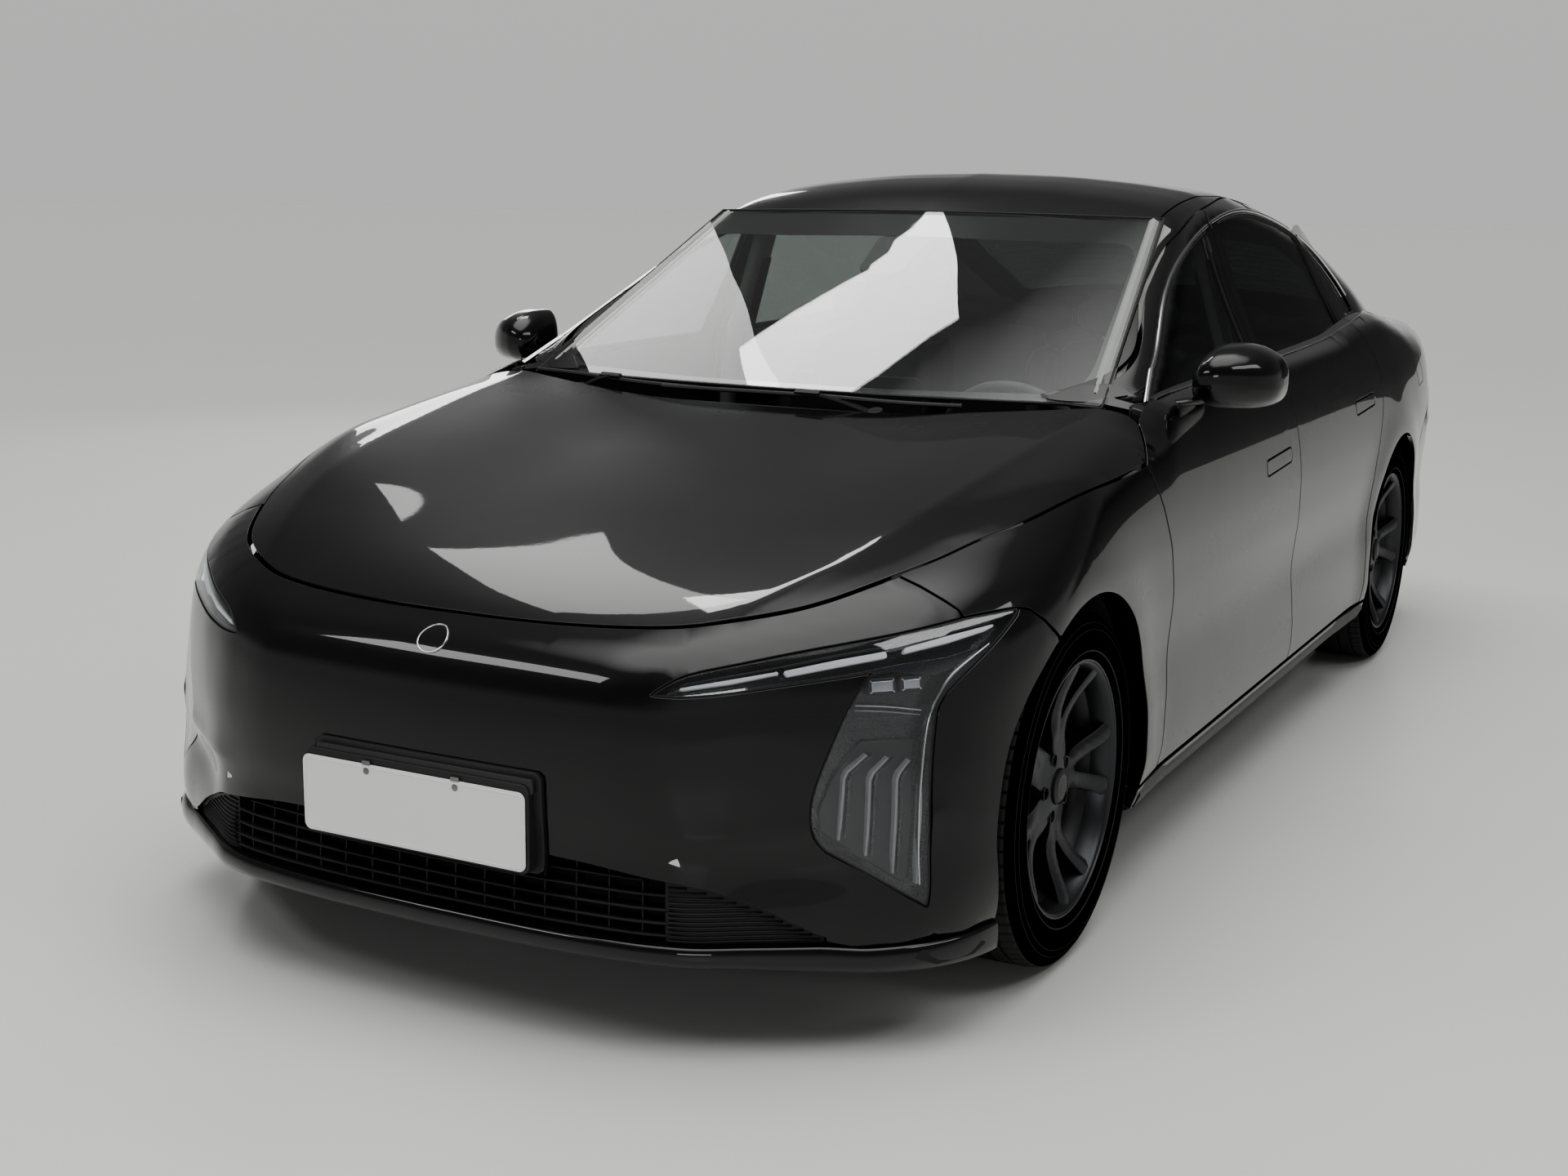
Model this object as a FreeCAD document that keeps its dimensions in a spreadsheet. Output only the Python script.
import FreeCAD, Part
import os, math

# Four-door sedan car, millimetres.
# Frame: +Z up, ground at z = 0, front of the car towards -Y, car's left side towards +X,
# origin on the ground under the middle of the car's bounding box.

doc = FreeCAD.newDocument("sedan")
V = FreeCAD.Vector

# ------------------------------------------------------------------ driving sizes
sheet = doc.addObject("Spreadsheet::Sheet", "sizes")
ROWS = [  # alias, value, meaning
    ("front_axle", -1598.0, "y of front axle"),
    ("rear_axle", 1317.0, "y of rear axle"),
    ("axle_height", 343.0, "z of wheel centres"),
    ("tyre_radius", 343.0, "outer radius of tyre"),
    ("tyre_width", 232.0, "section width"),
    ("lip_radius", 247.0, "rim lip radius"),
    ("bead_radius", 228.0, "rim well radius"),
    ("half_track", 812.0, "x of tyre centre plane"),
    ("rim_face", 918.0, "x of rim lip plane"),
    ("arch_radius", 374.0, "wheel arch opening"),
    ("liner_radius", 388.0, "inside of arch liner"),
    ("disc_radius", 154.0, "brake disc"),
    ("hub_radius", 62.0, "wheel hub"),
    ("kingpin_x", 790.0, "steering axis"),
    ("panel_gap", 6.0, "gap round doors and lids"),
    ("skin", 22.0, "panel thickness"),
    ("glass_thick", 5.0, "window glass"),
    ("door_inner_x", 800.0, "inner face of doors"),
    ("hinge_x", 921.0, "door hinge axis"),
    ("front_hinge_y", -1066.0, "front door hinge"),
    ("rear_hinge_y", 26.0, "rear door hinge"),
    ("sill_bottom", 190.0, "underside of sill"),
    ("sill_top", 243.0, "top of sill blade"),
    ("floor_z", 296.0, "underside of cabin floor"),
    ("floor_thick", 14.0, "cabin floor"),
    ("battery_length", 1900.0, "battery pack"),
    ("battery_width", 1300.0, "battery pack"),
    ("battery_height", 128.0, "battery pack"),
    ("battery_z", 160.0, "underside of battery pack"),
    ("seat_width", 500.0, "front seat"),
    ("wheel_rim_r", 182.0, "steering wheel"),
    ("plate_w", 480.0, "number plate"),
    ("plate_hgt", 140.0, "number plate"),
]
for i, (al, val, txt) in enumerate(ROWS):
    sheet.set("A%d" % (i + 1), txt)
    sheet.set("B%d" % (i + 1), repr(val))
    sheet.setAlias("B%d" % (i + 1), al)
doc.recompute()
S = {al: float(sheet.get(al)) for al, val, txt in ROWS}
FA, RA, AZ = S["front_axle"], S["rear_axle"], S["axle_height"]
GAP = S["panel_gap"]

# ------------------------------------------------------------------ body surface
# Smooth curves through short tables (first column position, second column value).
def spl(rows):
    xs = [float(r[0]) for r in rows]
    ys = [float(r[1]) for r in rows]
    n = len(xs)
    hh = [xs[i + 1] - xs[i] for i in range(n - 1)]
    dd = [(ys[i + 1] - ys[i]) / hh[i] for i in range(n - 1)]
    mm = [0.0] * n
    for i in range(1, n - 1):
        if dd[i - 1] * dd[i] > 0:
            w1 = 2 * hh[i] + hh[i - 1]
            w2 = hh[i] + 2 * hh[i - 1]
            mm[i] = (w1 + w2) / (w1 / dd[i - 1] + w2 / dd[i])
    mm[0] = dd[0]
    mm[-1] = dd[-1]
    return xs, ys, mm


def ev(t, x):
    xs, ys, mm = t
    i = 0
    n = len(xs)
    while i < n - 2 and x > xs[i + 1]:
        i += 1
    hh = xs[i + 1] - xs[i]
    u = (x - xs[i]) / hh
    if u < 0:
        return ys[i] + u * hh * mm[i]
    if u > 1:
        return ys[i + 1] + (u - 1) * hh * mm[i + 1]
    return ((1 + 2 * u) * (1 - u) ** 2 * ys[i] + u * (1 - u) ** 2 * hh * mm[i]
            + u * u * (3 - 2 * u) * ys[i + 1] + u * u * (u - 1) * hh * mm[i + 1])


def smax(a, b, k):
    q = max(k - abs(a - b), 0.0) / k
    return max(a, b) + q * q * q * k / 6.0


def smin(a, b, k):
    return -smax(-a, -b, k)


def sst(a, b, x):
    u = min(max((x - a) / float(b - a), 0.0), 1.0)
    return u * u * u * (u * (6 * u - 15) + 10)


T = {}
# half width of the body side against height
T["sec"] = spl([(120, 880), (190, 905), (250, 921), (314, 931), (400, 931), (503, 926), (572, 930), (640, 935),
                (720, 936), (790, 932), (860, 922), (930, 903), (985, 878), (1040, 845), (1120, 790)])
# half width of the greenhouse side against height
T["gs"] = spl([(0, 820), (700, 834), (880, 838), (960, 834), (1030, 810), (1100, 776), (1213, 722), (1300, 687),
               (1374, 661), (1450, 637), (1550, 610)])
# change of half width along the length
T["plan"] = spl([(-2420, -75), (-2200, -38), (-2000, -16), (-1800, -4), (-1500, 0), (-1000, 0), (0, 0), (800, 0),
                 (1300, 0), (1600, -6), (1900, -26), (2150, -60), (2420, -120)])
# height of hood, belt and deck: centre line, shoulder
T["topc"] = spl([(-2420, 640), (-2340, 690), (-2275, 716), (-2150, 757), (-2000, 797), (-1800, 845), (-1600, 884),
                 (-1400, 918), (-1200, 952), (-1100, 968), (-900, 1000), (0, 1030), (1200, 1050), (1700, 1075),
                 (1950, 1072), (2100, 1055), (2250, 1046), (2340, 1044), (2420, 1044)])
T["tops"] = spl([(-2420, 640), (-2275, 712), (-2150, 757), (-2000, 806), (-1800, 862), (-1600, 902), (-1400, 936),
                 (-1200, 968), (-1050, 990), (-900, 1014), (-700, 1024), (0, 1036), (700, 1052), (1100, 1086),
                 (1350, 1092), (1600, 1078), (1800, 1052), (2000, 1035), (2250, 1024), (2420, 1020)])
# nose on the centre line against height, and how far it draws back against x (low, high)
T["front"] = spl([(120, -2330), (190, -2390), (240, -2396), (340, -2388), (420, -2396), (480, -2398), (560, -2392),
                  (630, -2380), (680, -2362), (720, -2330), (760, -2270), (840, -2080)])
T["bowlo"] = spl([(0, 0), (200, 4), (400, 22), (500, 50), (600, 112), (700, 178), (800, 246), (880, 330), (950, 460)])
T["bowhi"] = spl([(0, 0), (200, 2), (350, 6), (450, 26), (550, 72), (650, 140), (750, 225), (830, 318), (900, 430),
                  (960, 560)])
# tail on the centre line against height, and how far it draws in against x
T["rear"] = spl([(200, 2330), (300, 2372), (400, 2385), (600, 2375), (750, 2368), (900, 2385), (980, 2405),
                 (1040, 2420), (1100, 2420)])
T["bowr"] = spl([(0, 0), (300, 8), (500, 30), (650, 75), (750, 130), (850, 225), (920, 330), (980, 460)])
# greenhouse: roof line, crown across, windshield line, windshield bow, plan
T["roof"] = spl([(-500, 1320), (-304, 1400), (-200, 1441), (-100, 1466), (0, 1483), (120, 1494), (300, 1493), (600, 1470),
                 (900, 1424), (1200, 1356), (1500, 1268), (1800, 1165), (1980, 1096), (2200, 1000)])
T["crown"] = spl([(0, 0), (200, 5), (400, 20), (550, 40), (650, 60), (750, 92)])
T["ws"] = spl([(900, -1258), (985, -1094), (1120, -831), (1260, -557), (1390, -304), (1500, -90)])
T["bowws"] = spl([(0, 0), (200, 6.6), (400, 26.6), (550, 50), (650, 70), (740, 91), (850, 130)])
T["ghp"] = spl([(-1300, -40), (-1000, -6), (-500, 0), (0, 0), (600, 0), (1000, -4), (1400, -20), (1800, -70),
                (2100, -130)])


def side(y, z):
    w = ev(T["sec"], z) + ev(T["plan"], y)
    for cy, amp in ((FA, 11.0), (RA, 12.0)):
        rr = math.hypot(y - cy, z - AZ)
        w += amp * math.exp(-((rr - 372) / 95.0) ** 2) * sst(1000, 700, z) * sst(100, 260, z)
    w += 5 * math.exp(-((y - RA) / 420) ** 2 - ((z - 800) / 140.0) ** 2)
    w -= 6 * math.exp(-((y + 150) / 650.0) ** 2 - ((z - 470) / 120.0) ** 2)
    return w


def top(x, y):
    q = sst(150, 700, abs(x))
    return ev(T["topc"], y) * (1 - q) + ev(T["tops"], y) * q


def body(x, y, z):
    x = abs(x)
    k = 170 - 100 * sst(-1150, -900, y) + 80 * sst(1300, 1800, y)
    q = smax(x - side(y, z), z - top(x, y), k)
    w = sst(200, 700, z)
    c = ev(T["front"], z) + ev(T["bowlo"], x) * (1 - w) + ev(T["bowhi"], x) * w - y
    q = smax(q, c * 0.85, 90)
    return smax(q, (y - (ev(T["rear"], z) - ev(T["bowr"], x))) * 0.9, 60)


def green(x, y, z):
    x = abs(x)
    a = (x - (ev(T["gs"], z) + ev(T["ghp"], y))) * 0.9
    r = (z - (ev(T["roof"], y) - ev(T["crown"], x))) * 0.97
    q = smax(a, r, 100)
    return smax(q, (ev(T["ws"], z) + ev(T["bowws"], x) - y) * 0.5, 40)


def both(x, y, z):
    return smin(body(x, y, z), green(x, y, z), 14)


def root(f, hi):
    lo = 0.0
    for _ in range(34):
        m = (lo + hi) / 2
        if f(m) < 0:
            lo = m
        else:
            hi = m
    return (lo + hi) / 2


def side_x(y, z, fn=both, t=0.0):
    return root(lambda x: fn(x, y, z) + t, 1100.0)


def top_z(x, y, fn=both, t=0.0):
    return 500 + root(lambda q: fn(x, y, 500 + q) + t, 1200.0)


# ------------------------------------------------------------------ shape helpers
def loft(secs):
    ws = [Part.makePolygon([V(*p) for p in q] + [V(*q[0])]) for q in secs]
    return Part.makeLoft(ws, True, True)


def prism(pts, axis, lo, hi):
    """polygon across an axis, pushed from lo to hi; pts are the two other coordinates"""
    if axis == "x":
        p = [V(lo, a, b) for a, b in pts]
        d = V(hi - lo, 0, 0)
    elif axis == "y":
        p = [V(a, lo, b) for a, b in pts]
        d = V(0, hi - lo, 0)
    else:
        p = [V(a, b, lo) for a, b in pts]
        d = V(0, 0, hi - lo)
    return Part.Face(Part.makePolygon(p + [p[0]])).extrude(d)


def block(x0, x1, y0, y1, z0, z1):
    return Part.makeBox(x1 - x0, y1 - y0, z1 - z0, V(x0, y0, z0))


def rod(r, p, d, ln):
    return Part.makeCylinder(r, ln, V(*p), V(*d))


def bar(r, a, b):
    d = V(*b) - V(*a)
    return Part.makeCylinder(r, d.Length, V(*a), d)


def mir(shape):
    return shape.mirror(V(0, 0, 0), V(1, 0, 0))


def fuse(parts):
    q = parts[0]
    if len(parts) > 1:
        q = q.multiFuse(parts[1:])
    return q.removeSplitter()


def pair(shape):
    return Part.makeCompound([shape, mir(shape)])


def poly_off(pts, d):
    """offset a closed outline outwards by d (straight edges, mitred)"""
    n = len(pts)
    ar = sum(pts[i][0] * pts[(i + 1) % n][1] - pts[(i + 1) % n][0] * pts[i][1] for i in range(n))
    sg = 1.0 if ar > 0 else -1.0
    out = []
    for i in range(n):
        a, b, c = pts[i - 1], pts[i], pts[(i + 1) % n]
        l1 = math.hypot(b[0] - a[0], b[1] - a[1])
        l2 = math.hypot(c[0] - b[0], c[1] - b[1])
        n1 = (sg * (b[1] - a[1]) / l1, -sg * (b[0] - a[0]) / l1)
        n2 = (sg * (c[1] - b[1]) / l2, -sg * (c[0] - b[0]) / l2)
        m = (n1[0] + n2[0], n1[1] + n2[1])
        q = d / max(0.35, (1 + n1[0] * n2[0] + n1[1] * n2[1]))
        out.append((b[0] + m[0] * q, b[1] + m[1] * q))
    return out


NODES = []


def feature(name, shape, place=None):
    o = doc.addObject("Part::Feature", name)
    o.Label = name
    o.Shape = shape
    o.Placement = place or FreeCAD.Placement(V(0, 0, 0), FreeCAD.Rotation())
    NODES.append(o)
    return o


def plane_of(body_, role):
    for f in body_.Origin.OriginFeatures:
        if f.Role == role:
            return f


def add_poly(sk, pts):
    n = len(pts)
    for i in range(n):
        a, b = pts[i], pts[(i + 1) % n]
        sk.addGeometry(Part.LineSegment(V(a[0], a[1], 0), V(b[0], b[1], 0)), False)


# ------------------------------------------------------------------ outlines
# daylight opening of the side windows, (y, z), clockwise from the front tip over the top
DLO_TOP = [(-985, 1012), (-793, 1069), (-507, 1212), (-257, 1309), (28, 1374), (374, 1404), (678, 1382),
           (1014, 1312), (1184, 1228), (1275, 1159), (1318, 1092)]
DLO_LOW = [(902, 1062), (461, 1040), (92, 1031), (-500, 1022), (-900, 1012)]
DLO = DLO_TOP + DLO_LOW
# door edges against height (z, y)
FRONT_EDGE = spl([(250, -1085), (569, -1058), (715, -1094), (810, -1142), (870, -1175), (915, -1190), (940, -1180),
                  (965, -1110), (985, -1045)])
SPLIT = spl([(250, 50), (491, 34), (624, 23), (772, 11), (930, 1), (1040, 0), (1420, 30)])
REAR_EDGE = spl([(250, 893), (450, 900), (555, 920), (640, 948), (732, 990), (823, 1040), (915, 1086), (1000, 1082),
                 (1065, 1060), (1200, 1008), (1340, 950)])
DOOR_Z0 = 250.0
# hood edge: (y, x) along the side, and rear edge / front edge in plan (x, y)
HOOD_SIDE = [(-1979, 713), (-1890, 757), (-1801, 791), (-1718, 826), (-1600, 860), (-1474, 888), (-1300, 897),
             (-1183, 897)]
HOOD_FRONT = [(0, -2285), (202, -2281), (411, -2250), (499, -2210), (602, -2138)]
HOOD_REAR = [(868, -1120), (834, -1046), (738, -1003), (629, -1034), (434, -1098), (0, -1110)]
HOOD_OUT = [(x, y) for x, y in HOOD_FRONT] + [(x, y) for y, x in HOOD_SIDE] + HOOD_REAR


def sym_outline(half):
    """half outline from x = 0 to x = 0 on the +x side, closed by its mirror image"""
    left = [(-x, y) for x, y in reversed(half) if x > 0]
    return list(half) + left


hood_plan = sym_outline(HOOD_OUT)

# ------------------------------------------------------------------ nose and tail blocks
def slice_ring(z, yb, sgn, fn, t, n=9):
    """half-plan slice of the body beyond y = yb, by rays from (0, yb)"""
    pts = []
    for i in range(-n, n + 1):
        a = i * (math.pi / 2) / n
        dx, dy = math.sin(a), sgn * math.cos(a)
        r = root(lambda q: fn(q * dx, yb + q * dy, z) + t, 1400.0)
        pts.append((r * dx, yb + r * dy, z))
    return pts


def end_block(zs, yb, sgn, t):
    return loft([slice_ring(z, yb, sgn, body, t) for z in zs])


NZ = (168, 205, 250, 340, 440, 540, 620, 670, 710, 745, 785)
NB = -1840.0
nose = end_block(NZ, NB, -1, 0.0)
nose_in = end_block((140, 205, 250, 340, 440, 540, 620, 660, 700, 735, 765), NB + 5, -1, 30.0)
nose_lamp = end_block((190, 250, 340, 440, 540, 620, 670, 700, 722), NB + 5, -1, 75.0)
TZ = (215, 260, 340, 460, 600, 740, 800, 860, 920, 970, 1005)
tail = end_block(TZ, 1960.0, 1, 0.0)
tail_in = end_block((180, 260, 340, 460, 600, 740, 800, 860, 920, 960, 990), 1955.0, 1, 28.0)

# ------------------------------------------------------------------ front bumper, lamps, grille
def wheel_cyl(cy, r, x0, x1):
    return rod(r, (x0, cy, AZ), (1, 0, 0), x1 - x0)


# headlamp outline in the front view (x, z): blade along the top, lens below it
LAMP = [(445, 640), (530, 660), (629, 686), (700, 700), (800, 712), (903, 716), (905, 690), (892, 560), (884, 430),
        (880, 300), (850, 330), (760, 400), (737, 470), (760, 545), (800, 640), (700, 655), (600, 650), (520, 640)]
hood_gap = [(x, y) for x, y in poly_off(hood_plan, GAP)]
hood_cut = prism(hood_gap, "z", 600, 1200)
shell = nose.cut(nose_in)
lamp_prism = prism(LAMP, "y", -2500, -1800)
lamp_pocket = prism(poly_off(LAMP, 1.0), "y", -2500, -1800)
GRILLE = [(-330, 332), (330, 332), (480, 318), (600, 284), (735, 243), (700, 228), (500, 232), (-500, 232),
          (-700, 228), (-735, 243), (-600, 284), (-480, 318)]
arch_f = wheel_cyl(FA, S["arch_radius"], 560, 1100)
bumper = shell.cut(hood_cut).cut(lamp_pocket).cut(mir(lamp_pocket)).cut(prism(GRILLE, "y", -2600, -2000))
bumper = bumper.cut(arch_f).cut(mir(arch_f))
# the wing panels start behind this plane above the lamps
bumper = bumper.cut(block(700, 1000, -1978, -1800, 716, 900)).cut(block(-1000, -700, -1978, -1800, 716, 900))
undertray = block(-640, 640, -2340, -2010, 172, 182)
bumper = max(bumper.Solids, key=lambda q: q.Volume)
bumper = fuse([bumper, undertray])
feature("front_bumper", bumper)

lamp_shell = nose.cut(nose_lamp)
lamp = lamp_shell.common(lamp_prism).cut(hood_cut).cut(wheel_cyl(FA, S["liner_radius"] + 8, 500, 1100))
lamp = lamp.cut(block(700, 1000, -1978, -1800, 716, 900))
lamp = max(lamp.Solids, key=lambda q: q.Volume)
feature("headlamps", pair(lamp))

grille_body = nose.common(prism(poly_off(GRILLE, -1.0), "y", -2600, -2000))
g_in = end_block((215, 250, 300, 340), NB + 5, -1, 26.0)
g_out = end_block((215, 250, 300, 340), NB + 5, -1, 8.0)
gr = g_out.cut(g_in).common(prism(poly_off(GRILLE, -1.0), "y", -2600, -2000))
gr = max(gr.Solids, key=lambda q: q.Volume)
feature("lower_grille", gr)

# ------------------------------------------------------------------ front wings and rear quarters
def nrm(fn, x, y, z):
    e = 0.5
    gx = fn(x + e, y, z) - fn(x - e, y, z)
    gz = fn(x, y, z + e) - fn(x, y, z - e)
    q = math.hypot(gx, gz) or 1.0
    return gx / q, gz / q


def skin_section(y, x_end, z_low, cx, cz, n, t, fn):
    """open section from low on the side over the shoulder to x = x_end, as a closed thin outline"""
    ze = top_z(x_end, y, fn)
    a1 = math.atan2(ze - cz, x_end - cx)
    a0 = math.atan2(z_low - cz, side_x(y, z_low, fn) - cx)
    out, inn = [], []
    for i in range(n + 1):
        a = a0 + (a1 - a0) * i / n
        dx, dz = math.cos(a), math.sin(a)
        r = root(lambda q: fn(cx + q * dx, y, cz + q * dz), 900.0)
        x, z = cx + r * dx, cz + r * dz
        nx, nz = nrm(fn, x, y, z)
        out.append((x, y, z))
        inn.append((x - t * nx, y, z - t * nz))
    return out + inn[::-1]


T_SKIN = S["skin"]
hood_x = spl([(y, x) for y, x in HOOD_SIDE])
fe = [(ev(FRONT_EDGE, z) - GAP, z) for z in (250, 569, 715, 810, 870, 915)]
wing_ys = (-1981, -1900, -1760, -1600, -1440, -1300, -1120, -1050)
secs = [skin_section(y, min(ev(hood_x, y), 897.0), 195, 620, 560, 10, T_SKIN, body) for y in wing_ys]
wing = loft(secs)
wing = wing.cut(hood_cut).cut(arch_f)
wing = wing.common(prism([(-1976, 150), (-1976, 1000)] + [(y, z) for y, z in reversed(fe)] + [(fe[0][0], 150)], "x", 500, 1100))
wing = wing.cut(block(500, 1100, -2000, -1838, 100, 718)).cut(block(600, 1000, -1250, -1030, 150, 250))
# room for the door's edge as it turns about its hinge
wing = wing.cut(rod(20, (S["hinge_x"], S["front_hinge_y"], 430), (0, 0, 1), 270))
wing = max(wing.Solids, key=lambda q: q.Volume)
feature("front_wings", pair(wing))

QZ0 = 200
lid_x = spl([(900, 800), (1350, 780), (1600, 740), (1900, 698), (1960, 690), (2330, 698)])
q_ys = (885, 1000, 1150, 1317, 1480, 1650, 1850, 1990, 2120, 2230)
secs = [skin_section(y, ev(lid_x, y), QZ0, 600, 600, 12, T_SKIN, body) for y in q_ys]
quarter = loft(secs)
re = [(ev(REAR_EDGE, z) + GAP, z) for z in (180, 450, 555, 640, 732, 823, 915, 1000, 1065, 1110)]
arch_r = wheel_cyl(RA, S["arch_radius"], 500, 1100)
quarter = quarter.common(prism([(y, z) for y, z in re] + [(2226, 1110), (2226, 760), (1990, 760), (1990, 180)], "x", 400, 1100))
quarter = quarter.cut(arch_r).cut(block(600, 1000, 870, 1100, 150, 250))
quarter = max(quarter.Solids, key=lambda q: q.Volume)

# ------------------------------------------------------------------ hood
def hood_section(y, xe, t):
    ze = top_z(xe, y, body)
    out, inn = [], []
    n = 8
    for i in range(-n, n + 1):
        f = i / float(n)
        # points bunch towards the side where the surface turns down
        x = xe * math.sin(f * math.pi / 2 * 0.98) / math.sin(math.pi / 2 * 0.98)
        z = top_z(x, y, body)
        nx, nz = nrm(body, x, y, z)
        out.append((x, y, z))
        inn.append((x - t * nx, y, z - t * nz))
    return out + inn[::-1]


h_ys = (-2292, -2220, -2120, -1979, -1801, -1600, -1400, -1183, -1090, -1000)
h_xe = spl([(-2300, 640), (-2200, 640), (-2100, 660), (-1979, 713), (-1890, 757), (-1801, 791), (-1718, 826),
            (-1600, 860), (-1474, 888), (-1300, 897), (-1183, 897), (-1120, 872), (-1000, 850)])
hood = loft([hood_section(y, min(ev(h_xe, y) + 3, 900.0), 20.0) for y in h_ys])
hood = hood.common(prism(hood_plan, "z", 500, 1300))
hood = max(hood.Solids, key=lambda q: q.Volume)

# ------------------------------------------------------------------ roof, glass
def top_section(y, xe, t, n, fn):
    out, inn = [], []
    for i in range(-n, n + 1):
        x = xe * i / float(n)
        z = top_z(x, y, fn)
        out.append((x, y, z))
        inn.append((x, y, z - t))
    return out + inn[::-1]


ROOF_FRONT = [(0, -300), (300, -293), (480, -282), (598, -268)]
roof_ys = (-304, -220, -100, 100, 350, 650, 900, 1090)
roof_xe = spl([(-400, 598), (0, 598), (600, 590), (1100, 560)])
roof = loft([top_section(y, ev(roof_xe, y), 14.0, 5, green) for y in roof_ys])
roof = roof.common(prism(sym_outline(ROOF_FRONT + [(590, 600), (560, 1085), (0, 1085)]), "z", 1000, 1600))
roof = max(roof.Solids, key=lambda q: q.Volume)
feature("roof_panel", roof)
roof_zone = prism(poly_off(sym_outline(ROOF_FRONT + [(590, 600), (560, 1085), (0, 1085)]), 3.0), "z", 1000, 1600)

GT = S["glass_thick"]


def ws_x(z):
    return 738 - (z - 985) * (738 - 622) / (1390 - 985.0)


def ws_section(z, t):
    xe = ws_x(z)
    out, inn = [], []
    for i in range(-5, 6):
        x = xe * i / 5.0
        y = ev(T["ws"], z) + ev(T["bowws"], abs(x))
        out.append((x, y, z))
        inn.append((x, y + t, z))
    return out + inn[::-1]


wsg = loft([ws_section(z, GT * 1.8) for z in (990, 1060, 1140, 1230, 1320, 1388)]).cut(roof_zone)
# its lower corners are rounded off where the hood's rear corners swing down behind the hinge
wsg = wsg.cut(rod(58, (-800, -1030, 955), (1, 0, 0), 1600))
feature("windshield", max(wsg.Solids, key=lambda q: q.Volume))
rw_ys = (1093, 1300, 1500, 1700, 1860, 1945)
rw_xe = spl([(1093, 548), (1500, 590), (1945, 600)])
feature("rear_window", loft([top_section(y, ev(rw_xe, y), GT, 5, green) for y in rw_ys]))

# ------------------------------------------------------------------ doors
DIX = S["door_inner_x"]


def door_lower(ys):
    """door box: outer skin from the sill over the shoulder, inner face at a constant x"""
    secs = []
    n = 11
    for y in ys:
        ze = top_z(806, y, body)
        cx, cz = 640.0, 640.0
        a1 = math.atan2(ze - cz, 806 - cx)
        a0 = math.atan2(DOOR_Z0 - cz, side_x(y, DOOR_Z0, body) - cx)
        out = []
        for i in range(n + 1):
            a = a0 + (a1 - a0) * i / n
            dx, dz = math.cos(a), math.sin(a)
            r = root(lambda q: body(cx + q * dx, y, cz + q * dz), 700.0)
            out.append((cx + r * dx, y, cz + r * dz))
        secs.append(out + [(DIX - 22, y, ze - 4), (DIX, y, 880), (DIX, y, out[0][2])])
    return loft(secs)


def frame_band(ys, t, d=0.0):
    zs = (1000, 1030, 1100, 1180, 1260, 1340, 1440)
    secs = []
    for y in ys:
        out = [(ev(T["gs"], z) + ev(T["ghp"], y) - d, y, z) for z in zs]
        inn = [(x - t, y, z) for x, y, z in out]
        secs.append(out + inn[::-1])
    return loft(secs)


def door_outline(y_of_front, y_of_rear, top_rows):
    zf = (DOOR_Z0, 450, 569, 640, 715, 810, 870, 915, 940, 965, 985)
    f = [(y_of_front(z), z) for z in zf]
    r = [(y_of_rear(z), z) for z in (1000, 915, 823, 732, 640, 555, 450, DOOR_Z0)]
    return f + top_rows + r


def glass_piece(outline, ys):
    return frame_band(ys, GT, 9.0).common(prism(outline, "x", 300, 1000))


F_TOP = [(-1000, 1008), (-798, 1082), (-512, 1232), (-262, 1335), (24, 1402)]
front_out = door_outline(lambda z: ev(FRONT_EDGE, z), lambda z: ev(SPLIT, z) - GAP / 2,
                         F_TOP[:-1] + [(ev(SPLIT, 1390) - 4, 1400), (ev(SPLIT, 1200) - 4, 1200),
                                       (ev(SPLIT, 1040) - GAP / 2, 1040)])
front_win = [(-945, 1030), (-793, 1069), (-507, 1212), (-257, 1309), (-28, 1362), (-40, 1200), (-52, 1038),
             (-500, 1029)]
R_TOP = [(ev(SPLIT, 1040) + GAP / 2, 1040), (ev(SPLIT, 1200) + 4, 1200), (ev(SPLIT, 1400) + 4, 1403), (374, 1431),
         (690, 1408), (945, 1352), (ev(REAR_EDGE, 1200), 1200), (ev(REAR_EDGE, 1065), 1065)]
rear_out = [(ev(SPLIT, z) + GAP / 2, z) for z in (DOOR_Z0, 491, 624, 772, 930)] + R_TOP + \
           [(ev(REAR_EDGE, z), z) for z in (1000, 915, 823, 732, 640, 555, 450, DOOR_Z0)]
rear_win = [(58, 1046), (70, 1200), (86, 1376), (374, 1404), (678, 1382), (912, 1334), (968, 1200), (1012, 1074),
            (461, 1048)]
f_ys = (-1200, -1130, -1050, -850, -550, -250, 40)
r_ys = (-10, 200, 450, 700, 900, 1000, 1100)


def make_door(outline, window, ys):
    low = door_lower(ys).common(prism(outline, "x", 500, 1100))
    fr = frame_band(ys, 34.0).common(prism(outline, "x", 300, 1000)).cut(prism(window, "x", 300, 1000))
    d = low.fuse(fr).removeSplitter()
    return max(d.Solids, key=lambda q: q.Volume)


fd = make_door(front_out, front_win, f_ys)
# the nose of the front door, ahead of its hinge, is thinner so that it swings clear of the body
fd = fd.cut(prism([(600, -1260), (856, -1260), (842, -1190), (DIX, -1052), (600, -1052)], "z", 200, 960))
fd = max(fd.Solids, key=lambda q: q.Volume)
rd = make_door(rear_out, rear_win, r_ys)
# the hood's underside is relieved over the nose of each front door
nose_way = prism(poly_off(front_out, 5.0), "x", 768, 1000)
hood = hood.cut(nose_way).cut(mir(nose_way))
hood = max(hood.Solids, key=lambda q: q.Volume)
feature("hood", hood)
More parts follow.
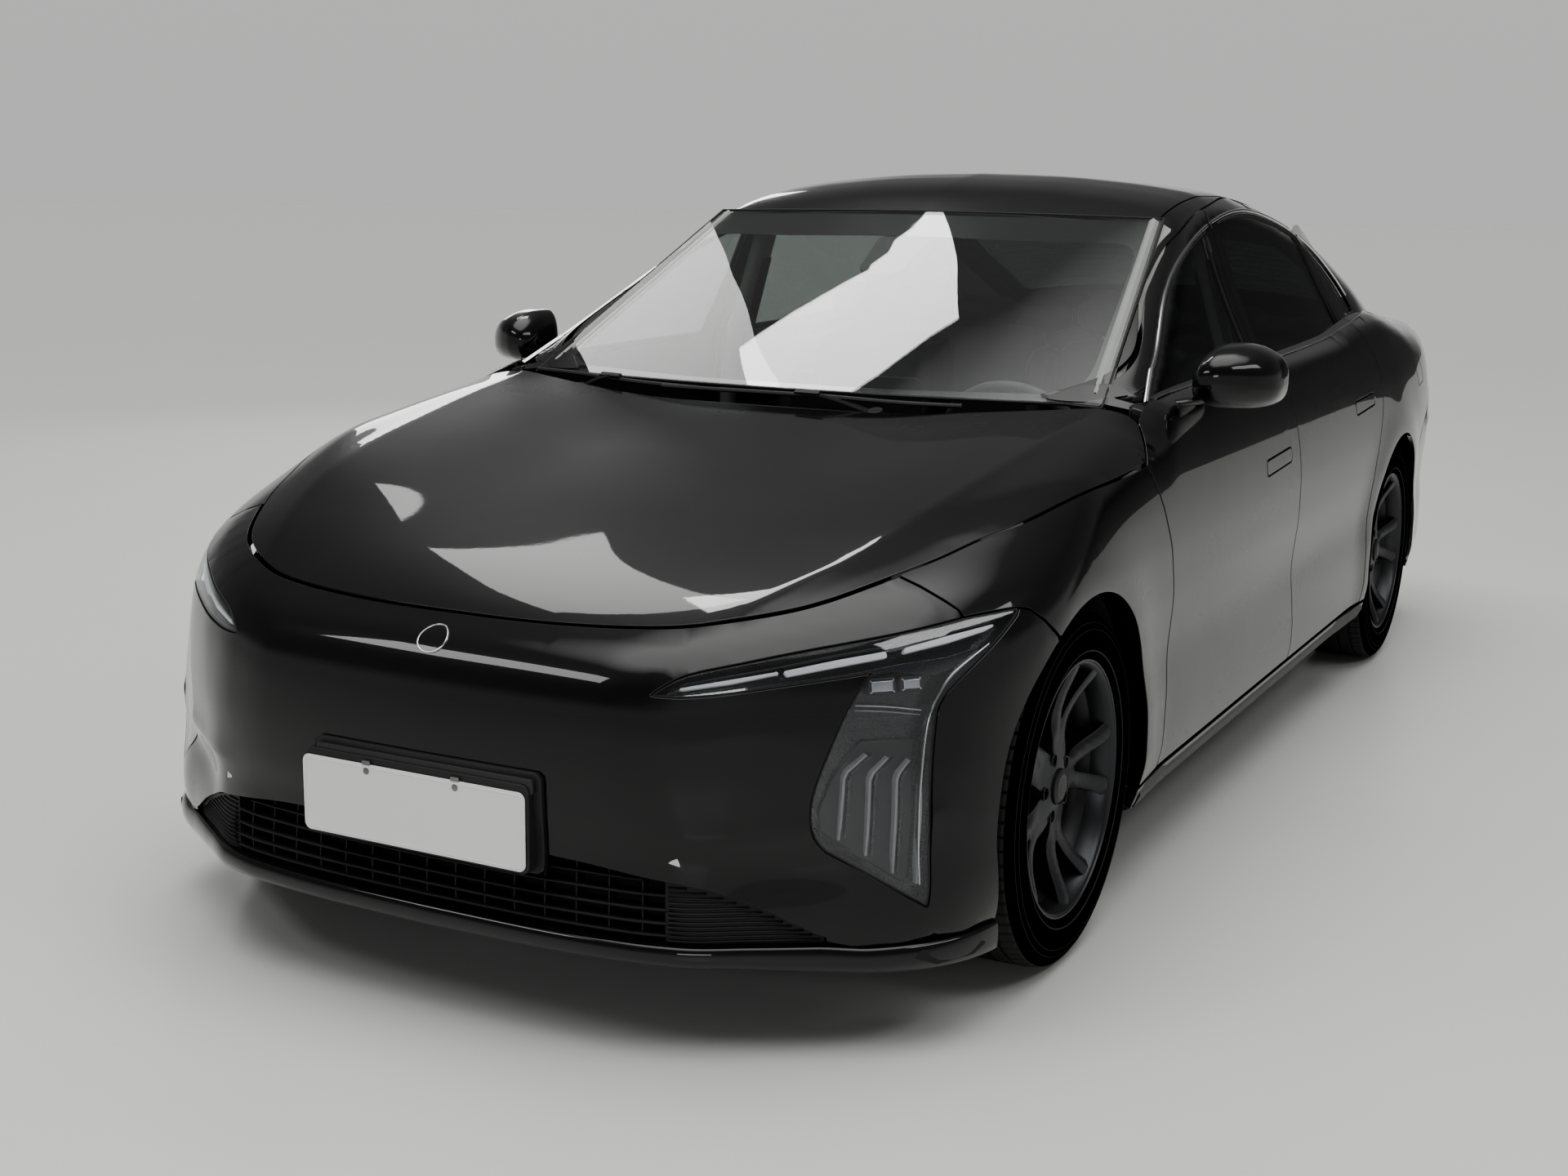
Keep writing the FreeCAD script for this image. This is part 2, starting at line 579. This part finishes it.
# a slot in the door's top lets the window glass stand inside the frame
fg = glass_piece(poly_off(front_win, -1.0), f_ys)
rg = glass_piece(poly_off(rear_win, -1.0), r_ys)
fg = max(fg.Solids, key=lambda q: q.Volume)
rg = max(rg.Solids, key=lambda q: q.Volume)
fg = fg.cut(fd)
rg = rg.cut(rd)
fg = max(fg.Solids, key=lambda q: q.Volume)
rg = max(rg.Solids, key=lambda q: q.Volume)
for nm, shp in (("front_door", fd), ("rear_door", rd), ("front_door_glass", fg), ("rear_door_glass", rg)):
    feature(nm + "_left", shp)
    feature(nm + "_right", mir(shp))

# mirrors: arm from the door's shoulder, then a pod
def mirror_pod():
    secs = []
    # x, y front, y rear, z low, z high
    rows = [(868, -790, -690, 1006, 1056), (895, -822, -655, 986, 1108), (930, -824, -634, 983, 1124),
            (980, -798, -625, 984, 1122), (1025, -748, -625, 996, 1096), (1046, -690, -636, 1020, 1068)]
    for x, yf, yr, z0, z1 in rows:
        ym = yf + (yr - yf) * 0.35
        zm = (z0 + z1) / 2
        secs.append([(x, yr, z0 + 8), (x, ym, z0), (x, yf, zm - (z1 - z0) * .12), (x, yf + 14, zm + (z1 - z0) * .2),
                     (x, ym, z1), (x, yr, z1 - 6)])
    return loft(secs)


pod = mirror_pod()
arm = loft([[(x, y0, z0), (x, y1, z0), (x, y1, z1), (x, y0, z1)] for x, y0, y1, z0, z1 in
            ((842, -880, -780, 985, 1006), (880, -840, -730, 994, 1012), (925, -762, -660, 1000, 1022))])
mirr = fuse([pod, arm]).cut(fd)
mirr = max(mirr.Solids, key=lambda q: q.Volume)
feature("mirror_left", mirr)
feature("mirror_right", mir(mirr))

# ------------------------------------------------------------------ side frames (pillars and roof rails)
RAIL_DLO = spl([(y, z) for y, z in [(-965, 1000), (-798, 1088), (-512, 1239), (-262, 1342), (28, 1410),
                                    (374, 1439), (678, 1417), (945, 1366), (1080, 1330), (1184, 1268),
                                    (1275, 1200), (1330, 1120), (1500, 1098), (1900, 1075)]])
RAIL_X = spl([(-985, 742), (-272, 628), (-200, 606), (600, 597), (1090, 568), (1300, 575), (1500, 597),
              (1900, 607)])


def rail_section(y, t):
    x1 = ev(RAIL_X, y)
    z3 = ev(RAIL_DLO, y)
    z1 = top_z(x1, y, green)
    z3 = min(z3, z1 - 6)
    x3 = max(side_x(y, z3, green), x1 + 10)
    cx, cz = x1 - 60, z3 - 60
    out = []
    a0 = math.atan2(z3 - cz, x3 - cx)
    a1 = math.atan2(z1 - cz, x1 - cx)
    for i in range(5):
        a = a0 + (a1 - a0) * i / 4.0
        dx, dz = math.cos(a), math.sin(a)
        r = root(lambda q: green(cx + q * dx, y, cz + q * dz), 500.0)
        out.append((cx + r * dx, y, cz + r * dz))
    w = x3 - x1
    return out + [(x1, y, z1 - t), (x1 + w * 0.35, y, min(z1, z3) - t * 0.8)]


rail_ys = (-965, -800, -600, -400, -262, -100, 150, 400, 700, 945, 1090, 1200, 1290)
rail = loft([rail_section(y, 40.0) for y in rail_ys])
rail2 = loft([rail_section(y, 40.0) for y in (1290, 1330, 1500, 1700, 1880)])
# hinge pillar, B pillar, lock pillar: flat-sided posts inside the doors, rows are x0, x1, y0, y1, z
def post(rows):
    return loft([[(x0, y0, z), (x1, y0, z), (x1, y1, z), (x0, y1, z)] for x0, x1, y0, y1, z in rows])


hinge_post = post([(690, 760, -1075, -985, 290), (690, 760, -1075, -985, 900), (705, 755, -985, -930, 990)])
b_post = post([(700, 790, -20, 110, 290), (715, 790, -20, 100, 880), (700, 768, -22, 70, 1020), (570, 607, 0, 60, 1428)])
lock_post = post([(700, 790, 850, 890, 290), (700, 790, 850, 895, 460), (715, 790, 985, 1060, 820),
                  (705, 772, 1020, 1085, 1000), (622, 662, 960, 1040, 1240), (580, 622, 915, 985, 1376)])
dcut = prism(poly_off(front_out, GAP), "x", 300, 1200)
rcut = prism(poly_off(rear_out, GAP), "x", 300, 1200)
rails = rail.fuse(rail2).cut(dcut).cut(rcut)
side_frame = fuse([rails, hinge_post, b_post, lock_post])
side_frame = max(side_frame.Solids, key=lambda q: q.Volume)
feature("side_frames", pair(side_frame))

# fixed window behind the rear door
qw = [(ev(REAR_EDGE, z) + GAP + 2, z) for z in (1076, 1140, 1200, 1270)] + \
     [(988, 1344), (1080, 1326), (1184, 1264), (1272, 1196), (1322, 1116), (1300, 1094), (1180, 1084)]
qwin = frame_band((960, 1080, 1200, 1340), 10.0, 6.0).common(prism(qw, "x", 300, 1000)).cut(side_frame)
qwin = max(qwin.Solids, key=lambda q: q.Volume)
feature("quarter_windows", pair(qwin))
quarter = quarter.cut(side_frame).cut(qwin)
quarter = max(quarter.Solids, key=lambda q: q.Volume)

# ------------------------------------------------------------------ tail: boot lid, lamps, bumper
tshell = tail.cut(tail_in)
LID_Z = 772.0
LID_W = 682.0
lid_gap_f = 1962.0
LAMPZ = (812.0, 872.0)
def deck_section(y, xe, t):
    pts = [(xe * i / 4.0, y, top(xe * i / 4.0, y) - 2) for i in range(-4, 5)]
    return pts + [(x, y, z - t) for x, y, z in pts[::-1]]


lid_top = loft([deck_section(y, LID_W, 20.0) for y in (1962, 2060, 2160, 2260, 2310)])
lid_rear = tshell.common(block(-LID_W, LID_W, 2180, 2460, LID_Z, 1003))
lid_rear = max(lid_rear.Solids, key=lambda q: q.Volume)
spoiler = loft([[(x, 2296, top(x, 2296) - 20), (x, 2296, top(x, 2296) - 3),
                 (x, 2418 - ev(T["bowr"], abs(x)), 1038), (x, 2404 - ev(T["bowr"], abs(x)), 985)]
                for x in (-LID_W, -500, -250, 0, 250, 500, LID_W)])
lid = fuse([lid_top, lid_rear, spoiler])
lid = max(lid.Solids, key=lambda q: q.Volume)
feature("boot_lid", lid)
lid_box = block(-LID_W - GAP, LID_W + GAP, 1962 - GAP, 2500, LID_Z - GAP, 1200)
lamp_t = tshell.cut(lid_box).common(block(0, 1000, 1995, 2460, LAMPZ[0], LAMPZ[1]))
lamp_t = max(lamp_t.Solids, key=lambda q: q.Volume)
feature("tail_lamps", pair(lamp_t))
corner = tshell.cut(lid_box).common(block(0, 1000, 2205, 2460, LAMPZ[1] + 1, 1003))
corner = max(corner.Solids, key=lambda q: q.Volume)
quarter = quarter.cut(block(0, 1000, 1994, 2460, LAMPZ[0] - 1, LAMPZ[1] + 1)).fuse(corner).removeSplitter()
quarter = max(quarter.Solids, key=lambda q: q.Volume)
feature("quarter_panels", pair(quarter))
rb = tshell.common(block(-1000, 1000, 1990, 2460, 215, LAMPZ[0] - 1)).cut(lid_box)
rb = max(rb.Solids, key=lambda q: q.Volume)
rb = rb.cut(quarter).cut(mir(quarter)).cut(lamp_t).cut(mir(lamp_t))
rb = max(rb.Solids, key=lambda q: q.Volume)
under_r = block(-560, 560, 2000, 2330, 215, 225)
rb = fuse([rb, under_r])
feature("rear_bumper", rb)

# ------------------------------------------------------------------ sills, floor, bulkhead
def sill():
    secs = []
    for y in (-1216, -1000, -500, 100, 600, 936):
        xo = side_x(y, 246, body)
        xb = side_x(y, 205, body)
        secs.append([(700, y, 200), (xb - 20, y, S["sill_bottom"]), (xb, y, 200), (xo, y, 226), (xo - 2, y, S["sill_top"]),
                     (792, y, S["sill_top"]), (786, y, 420), (700, y, 420)])
    q = loft(secs)
    return q.cut(arch_f).cut(arch_r)


sl = sill().cut(block(600, 1000, -1300, -1075, 246, 500)).cut(block(600, 1000, 890, 1000, 246, 500))
sl = max(sl.Solids, key=lambda q: q.Volume).cut(side_frame)
sl = max(sl.Solids, key=lambda q: q.Volume)
pads = [block(710, 770, y - 45, y + 45, 176, 215) for y in (-860, 780)]
sl = fuse([sl] + pads)
feature("sills", pair(sl))

FZ, FT = S["floor_z"], S["floor_thick"]
floor = fuse([block(-700, 700, -1000, 900, FZ, FZ + FT), block(-640, 640, 900, 1014, FZ, FZ + FT),
              block(-640, 640, 1000, 1014, FZ, 444), block(-640, 640, 1000, 2250, 430, 444)])
feature("floor_pan", floor)
firewall = fuse([block(-690, 690, -1014, -1000, FZ, 925), block(-690, 690, -1090, -1000, 911, 925)])
feature("firewall", firewall)
cowl = loft([[(x, -1086, 925), (x, -1086, 931), (x, -1044 + (x / 700.0) ** 2 * 30, 944), (x, -1000, 925)]
             for x in (-690, -350, 0, 350, 690)])
feature("cowl_panel", cowl)
shelf = block(-600, 600, 1100, 1940, 1012, 1026)
feature("parcel_shelf", shelf)

# ------------------------------------------------------------------ parametric helpers for turned and padded parts
def new_body(name):
    b = doc.addObject("PartDesign::Body", name)
    b.Label = name
    NODES.append(b)
    return b


def sketch_on(b, role, name):
    sk = b.newObject("Sketcher::SketchObject", name)
    sk.AttachmentSupport = [(plane_of(b, role), "")]
    sk.MapMode = "FlatFace"
    return sk


def rect(sk, x0, y0, x1, y1, binds):
    """rectangle with driving dimensions; binds gives the four expressions or numbers"""
    import Sketcher
    pts = [(x0, y0), (x1, y0), (x1, y1), (x0, y1)]
    n0 = sk.GeometryCount
    add_poly(sk, pts)
    for i in range(4):
        sk.addConstraint(Sketcher.Constraint("Coincident", n0 + i, 2, n0 + (i + 1) % 4, 1))
    sk.addConstraint(Sketcher.Constraint("Horizontal", n0))
    sk.addConstraint(Sketcher.Constraint("Horizontal", n0 + 2))
    sk.addConstraint(Sketcher.Constraint("Vertical", n0 + 1))
    sk.addConstraint(Sketcher.Constraint("Vertical", n0 + 3))
    ids = []
    ids.append(sk.addConstraint(Sketcher.Constraint("DistanceX", -1, 1, n0, 1, x0)))
    ids.append(sk.addConstraint(Sketcher.Constraint("DistanceY", -1, 1, n0, 1, y0)))
    ids.append(sk.addConstraint(Sketcher.Constraint("DistanceX", n0, 1, n0, 2, x1 - x0)))
    ids.append(sk.addConstraint(Sketcher.Constraint("DistanceY", n0 + 1, 1, n0 + 1, 2, y1 - y0)))
    for k, e in zip(ids, binds):
        if e:
            sk.setExpression("Constraints[%d]" % k, e)


def pad_box(name, x0, x1, y0, y1, z0, z1, binds=(None, None, None, None), zbind=None, fillet=0.0):
    """padded rectangle standing at z0"""
    b = new_body(name)
    sk = sketch_on(b, "XY_Plane", name + "_outline")
    rect(sk, x0, y0, x1, y1, binds)
    pad = b.newObject("PartDesign::Pad", name + "_pad")
    pad.Profile = sk
    pad.Length = z1 - z0
    if zbind:
        pad.setExpression("Length", zbind)
    doc.recompute()
    if fillet:
        f = b.newObject("PartDesign::Fillet", name + "_round")
        f.Base = (pad, [e for e in ["Edge%d" % (i + 1) for i in range(len(pad.Shape.Edges))]
                        if abs(pad.Shape.Edges[int(e[4:]) - 1].tangentAt(0).z) > 0.9])
        f.Radius = fillet
        b.Tip = f
    b.Placement = FreeCAD.Placement(V(0, 0, z0), FreeCAD.Rotation())
    return b


pad_box("battery_pack", -650, 650, -930, 970, 160, 288,
        ("-sizes.battery_width / 2", None, "sizes.battery_width", "sizes.battery_length"), "sizes.battery_height", 40.0)
pad_box("drive_unit", -230, 230, 1165, 1470, 210, 420, fillet=30.0)
pad_box("bonnet_bay_tub", -470, 470, -2080, -1300, 560, 640, fillet=60.0)

# dashboard, console
dash = loft([[(x, -995, 700), (x, -995, 900), (x, -900 + b, 935), (x, -700 + b, 915), (x, -640 + b, 840), (x, -700 + b, 700)]
             for x, b in ((-680, -40), (-300, 0), (300, 0), (680, -40))])
feature("dashboard", dash)
console = loft([[(-110, y, 312), (110, y, 312), (110, y, z), (-110, y, z)] for y, z in
                ((-640, 560), (-300, 560), (-100, 600), (240, 600))])
feature("center_console", console)

# ------------------------------------------------------------------ seats
def seat(xc, w, y0, rake):
    """cushion and back as one closed form; rows are y, z of the side outline"""
    out = [(y0, 400), (y0 - 12, 470), (y0 + 30, 525), (y0 + 420, 478), (y0 + 560 + rake * .1, 760), (y0 + 640, 1010),
           (y0 + 690, 1170), (y0 + 750, 1165), (y0 + 745, 1010), (y0 + 690, 760), (y0 + 600, 400)]
    return prism(out, "x", xc - w / 2, xc + w / 2)


SW = S["seat_width"]
seat_l = seat(380, SW, -440, 0)
base_l = block(380 - 190, 380 + 190, -380, 100, 311, 401)
seat_r = fuse([seat_l, base_l])
feature("front_seats", pair(seat_r))
rs = [(560, 312), (545, 420), (590, 470), (940, 440), (1090, 700), (1170, 1000), (1250, 995), (1180, 700), (1080, 450),
      (998, 445), (998, 312)]
feature("rear_seat", prism(rs, "x", -640, 640))

# ------------------------------------------------------------------ wheels
def wheel_body(name, xc, cy):
    """rim, spokes and hub: turned profile with pockets between ten spokes; brake disc behind it"""
    b = new_body(name)
    sk = sketch_on(b, "XZ_Plane", name + "_profile")
    # profile in (axial, radial); axial 0 is the lip face, inboard is negative
    pts = [(-30, 24), (-18, 24), (-12, 40), (-14, 62), (-30, 100), (-24, 190), (-16, 232), (0, 240), (0, 247), (-12, 247),
           (-18, 236), (-40, 224), (-120, 214), (-200, 226), (-214, 240), (-226, 240), (-226, 232), (-206, 218),
           (-126, 204), (-60, 208), (-52, 190), (-56, 100), (-52, 62), (-110, 60), (-110, 24)]
    add_poly(sk, pts)
    rev = b.newObject("PartDesign::Revolution", name + "_rev")
    rev.Profile = sk
    rev.ReferenceAxis = (sk, ["H_Axis"])
    rev.Angle = 360.0
    doc.recompute()
    sk2 = sketch_on(b, "YZ_Plane", name + "_window")
    a = math.radians(13.0)
    w = [(104 * math.cos(-a), 104 * math.sin(-a)), (196 * math.cos(-a * 1.05), 196 * math.sin(-a * 1.05)), (201, 0),
         (196 * math.cos(a * 1.05), 196 * math.sin(a * 1.05)), (104 * math.cos(a), 104 * math.sin(a))]
    add_poly(sk2, w)
    pk = b.newObject("PartDesign::Pocket", name + "_cut")
    pk.Profile = sk2
    pk.Type = 0
    pk.Length = 70.0
    doc.recompute()
    if abs(pk.Shape.Volume - rev.Shape.Volume) < 1.0:
        pk.Reversed = True
        doc.recompute()
    pp = b.newObject("PartDesign::PolarPattern", name + "_windows")
    pp.Originals = [pk]
    pp.Axis = (plane_axis(b, "X_Axis"), [""])
    pp.Angle = 360.0
    pp.Occurrences = 10
    b.Tip = pp
    rot = FreeCAD.Rotation(V(0, 0, 1), 0 if xc > 0 else 180)
    b.Placement = FreeCAD.Placement(V(xc, cy, AZ), rot)
    return b


def plane_axis(b, role):
    for f in b.Origin.OriginFeatures:
        if f.Role == role:
            return f


def tyre_body(name, xc, cy):
    b = new_body(name)
    sk = sketch_on(b, "XZ_Plane", name + "_profile")
    R = S["tyre_radius"]
    pts = [(-4, 249), (6, 262), (9, 292), (3, 322), (-10, 337), (-34, R - 1), (-106, R), (-178, R - 1), (-202, 337),
           (-215, 322), (-221, 292), (-218, 262), (-208, 249)]
    add_poly(sk, pts)
    rev = b.newObject("PartDesign::Revolution", name + "_rev")
    rev.Profile = sk
    rev.ReferenceAxis = (sk, ["H_Axis"])
    rev.Angle = 360.0
    rot = FreeCAD.Rotation(V(0, 0, 1), 0 if xc > 0 else 180)
    b.Placement = FreeCAD.Placement(V(xc, cy, AZ), rot)
    return b


WHEELS = [("front_left", 1, FA), ("front_right", -1, FA), ("rear_left", 1, RA), ("rear_right", -1, RA)]
for nm, sg, cy in WHEELS:
    wheel_body("wheel_" + nm, sg * S["rim_face"], cy)
    tyre_body("tyre_" + nm, sg * S["rim_face"], cy)

# ------------------------------------------------------------------ knuckles, suspension
KX = S["kingpin_x"]


def knuckle(cy):
    spindle = rod(23.4, (770, cy, AZ), (1, 0, 0), 125)
    carrier = rod(70, (720, cy, AZ), (1, 0, 0), 50)
    upright = block(722, 768, cy - 35, cy + 35, AZ - 120, AZ + 120)
    ear = block(735, KX + 22, cy - 22, cy + 22, AZ - 150, AZ - 120)
    disc = rod(S["disc_radius"], (778, cy, AZ), (1, 0, 0), 22).cut(rod(66, (777, cy, AZ), (1, 0, 0), 24))
    caliper = rod(166, (764, cy, AZ), (1, 0, 0), 50).cut(rod(110, (763, cy, AZ), (1, 0, 0), 52)).common(
        block(700, 900, cy + 60, cy + 200, AZ - 90, AZ + 90))
    web = block(722, 768, cy, cy + 150, AZ - 40, AZ + 40)
    k = fuse([spindle, carrier, upright, ear, caliper, web, disc, rod(70, (768, cy, AZ), (1, 0, 0), 12)])
    k = k.cut(rod(9.4, (KX, cy, AZ - 160), (0, 0, 1), 34))
    return max(k.Solids, key=lambda q: q.Volume)


kn = knuckle(FA)
feature("knuckle_left", kn)
feature("knuckle_right", mir(kn))
knr = knuckle(RA)


def front_susp():
    sub = fuse([block(-380, 380, FA - 60, FA + 160, 190, 250), block(-420, 420, FA + 40, FA + 110, 200, 240)])
    parts = [sub]
    for sg in (1, -1):
        arm = loft([[(sg * x, FA + a, z - 12), (sg * x, FA + b, z - 12), (sg * x, FA + b, z + 12), (sg * x, FA + a, z + 12)]
                    for x, a, b, z in ((360, -50, 150, 215), (560, -35, 70, 195), (KX + 18, -20, 20, 172))])
        pin = rod(9.0, (sg * KX, FA, 170), (0, 0, 1), 45)
        strut = bar(26, (sg * 590, FA, 250), (sg * 560, FA, 820))
        spring = bar(58, (sg * 574, FA, 545), (sg * 561, FA, 795))
        foot = block(min(sg * 560, sg * 620), max(sg * 560, sg * 620), FA - 26, FA + 26, 195, 262)
        parts += [arm, pin, strut, spring, foot]
    return fuse(parts)


fs = front_susp()
feature("front_suspension", max(fs.Solids, key=lambda q: q.Volume))


def rear_susp():
    parts = [block(-330, 330, RA - 230, RA - 175, 250, 310), block(-330, 330, RA + 160, RA + 220, 250, 310),
             block(-330, -270, RA - 230, RA + 220, 250, 310), block(270, 330, RA - 230, RA + 220, 250, 310)]
    for sg in (1, -1):
        kk = knr if sg > 0 else mir(knr)
        parts += [kk, bar(20, (sg * 320, RA - 120, 280), (sg * 740, RA - 20, 245)),
                  bar(24, (sg * 320, RA + 190, 280), (sg * 740, RA + 20, 245)),
                  bar(16, (sg * 320, RA - 30, 376), (sg * 745, RA, 416)),
                  bar(52, (sg * 520, RA + 110, 262), (sg * 512, RA + 104, 420)),
                  bar(16, (sg * 232, RA, AZ), (sg * 740, RA, AZ)),
                  bar(16, (sg * 320, RA - 120, 300), (sg * 320, RA - 30, 376))]
    return fuse(parts)


rsu = rear_susp()
feature("rear_suspension", max(rsu.Solids, key=lambda q: q.Volume))

# arch liners: half shells over each wheel
def liner(cy, x0, x1, zlow):
    ro, ri = S["liner_radius"] + 4, S["liner_radius"]
    q = rod(ro, (x0, cy, AZ), (1, 0, 0), x1 - x0).cut(rod(ri, (x0 + 4, cy, AZ), (1, 0, 0), x1 - x0))
    q = q.cut(rod(300, (x0 - 1, cy, AZ), (1, 0, 0), 6)) if x0 < 560 else q.cut(rod(330, (x0 - 1, cy, AZ), (1, 0, 0), 6))
    return q.common(block(x0 - 5, x1 + 5, cy - 450, cy + 450, zlow, 900))


lf = liner(FA, 486, 880, 240)
lr = liner(RA, 656, 880, 240)
lf = lf.cut(bar(68, (590, FA, 250), (559, FA, 845))).cut(lamp)
keep = [wing, sl, quarter, bumper, side_frame]
for k_ in keep:
    lf = lf.cut(k_)
    lr = lr.cut(k_)
lf = max(lf.Solids, key=lambda q: q.Volume)
lr = max(lr.Solids, key=lambda q: q.Volume)
feature("arch_liners", Part.makeCompound([lf, mir(lf), lr, mir(lr)]))

# ------------------------------------------------------------------ steering wheel
SWX, SWY, SWZ = 380.0, -560.0, 830.0


def steering():
    r = S["wheel_rim_r"]
    ring = Part.makeTorus(r, 15.0, V(0, 0, 0), V(0, 0, 1))
    hub = Part.makeCylinder(58, 34, V(0, 0, -17))
    arms = [Part.makeBox(r * 2 - 10, 34, 16, V(-r + 5, -17, -8)), Part.makeBox(34, r - 5, 16, V(-17, -r + 5, -8))]
    return fuse([ring, hub] + arms)


feature("steering_wheel", steering(), FreeCAD.Placement(V(SWX, SWY, SWZ), FreeCAD.Rotation(V(1, 0, 0), -64.0)))

# ------------------------------------------------------------------ number plate on its bracket
pw, ph = S["plate_w"], S["plate_hgt"]
plate = fuse([block(-pw / 2, pw / 2, -2420, -2416, 309, 309 + ph), block(-pw / 2 - 8, pw / 2 + 8, -2416, -2380, 303, 318 + ph)])
plate = plate.cut(nose)
plate = max(plate.Solids, key=lambda q: q.Volume)
feature("number_plate", plate)

# ------------------------------------------------------------------ checks and export
doc.recompute()
bad = []
for o in doc.Objects:
    if any(w in o.State for w in ("Invalid", "Error")):
        bad.append(o.Name + " " + str(o.State))
for o in NODES:
    if o.Shape.isNull() or not o.Shape.isValid() or not o.Shape.Solids:
        bad.append(o.Label + " shape")
if bad:
    raise RuntimeError("failed: " + "; ".join(bad))
os.makedirs("parts", exist_ok=True)
for o in NODES:
    o.Shape.exportStep(os.path.join("parts", o.Label + ".step"))
print(len(NODES), "nodes written")
